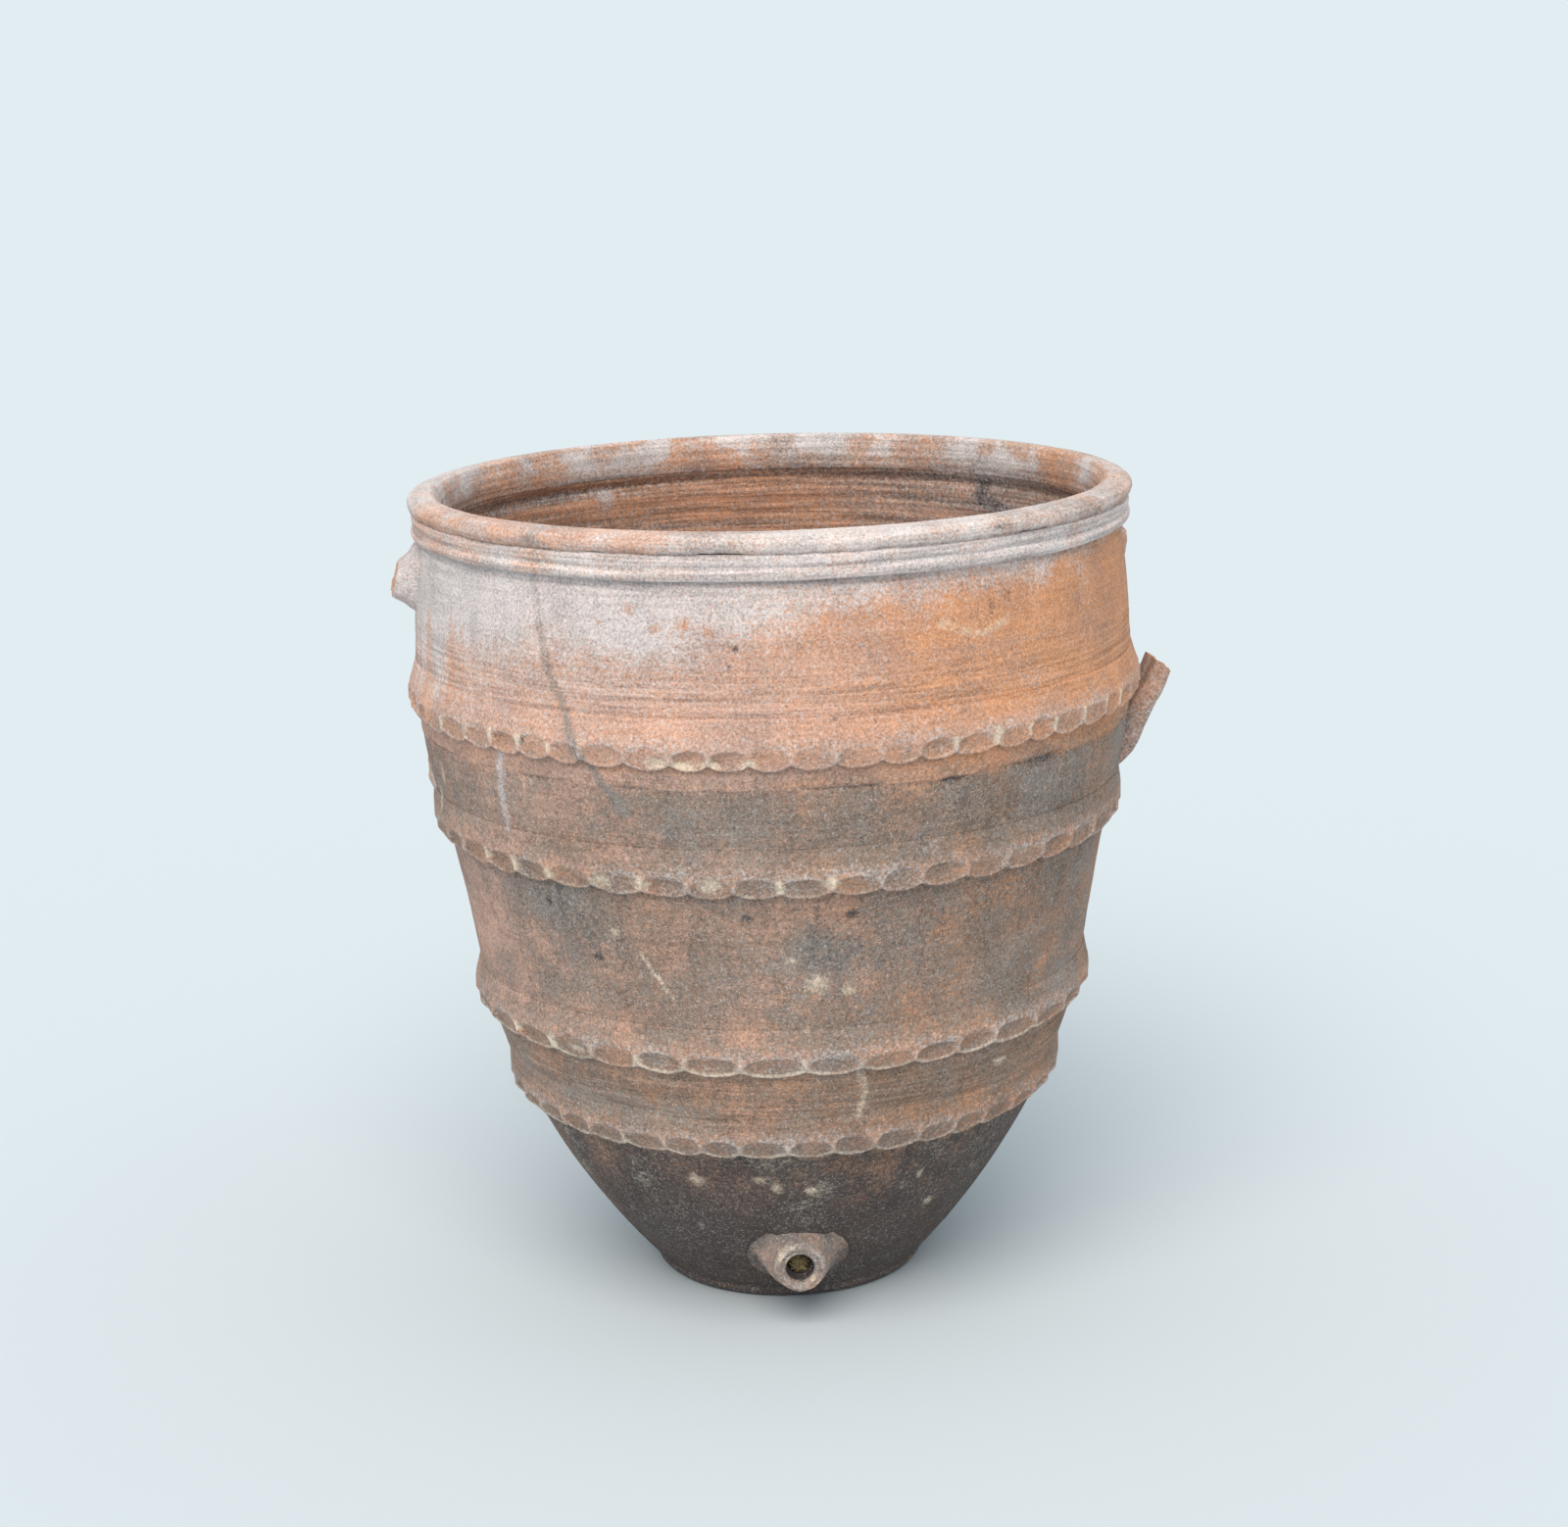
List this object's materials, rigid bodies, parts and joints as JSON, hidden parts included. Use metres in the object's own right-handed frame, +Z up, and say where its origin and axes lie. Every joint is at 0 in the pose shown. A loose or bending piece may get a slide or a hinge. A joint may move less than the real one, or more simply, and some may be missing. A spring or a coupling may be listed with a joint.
{
  "type": "terracotta jar",
  "caption": "Deep wide-mouthed terracotta jar with thumb-pressed cordons, a folded rim, the roots of broken handles and a drain spout at the foot.",
  "frame": {"origin": "centre of the underside, on the surface the jar stands on", "axes": "+Z up along the jar's axis, -Y out of the drain spout, +X to the right of someone who faces the spout"},
  "size_m": [0.5682, 0.531, 0.591],
  "materials": {
    "limed_clay": "unglazed earthenware under a worn skin of lime",
    "pink_clay": "unglazed, wiped while wet, sandy",
    "brown_clay": "unglazed, weathered and dirty",
    "cordon_clay": "unglazed, thumb-pressed, chipped along the ridges",
    "dark_clay": "unglazed, dark with damp and soil",
    "straw": "damp matted straw and soil"
  },
  "bodies": {
    "jar": {"base_floor": "dark_clay", "foot_wall": "dark_clay", "lower_wall": "brown_clay", "middle_wall": "brown_clay", "upper_wall": "brown_clay", "shoulder_wall": "pink_clay", "rim_roll": "limed_clay", "neck_collar": "limed_clay", "foot_cordon": "cordon_clay", "lower_cordon": "cordon_clay", "middle_cordon": "cordon_clay", "shoulder_cordon": "cordon_clay", "outlet_nozzle": "dark_clay", "left_handle_upper_stub": "pink_clay", "left_handle_lower_scar": "brown_clay", "right_handle_upper_scar": "pink_clay", "right_handle_lower_stub": "brown_clay"},
    "wad": {"outlet_wad": "straw"}
  },
  "joints": [
    {"name": "wad_pull", "type": "slide", "parent": "jar", "child": "wad", "axis": [0, -1, 0], "range_m": [0, 0.06]}
  ]
}
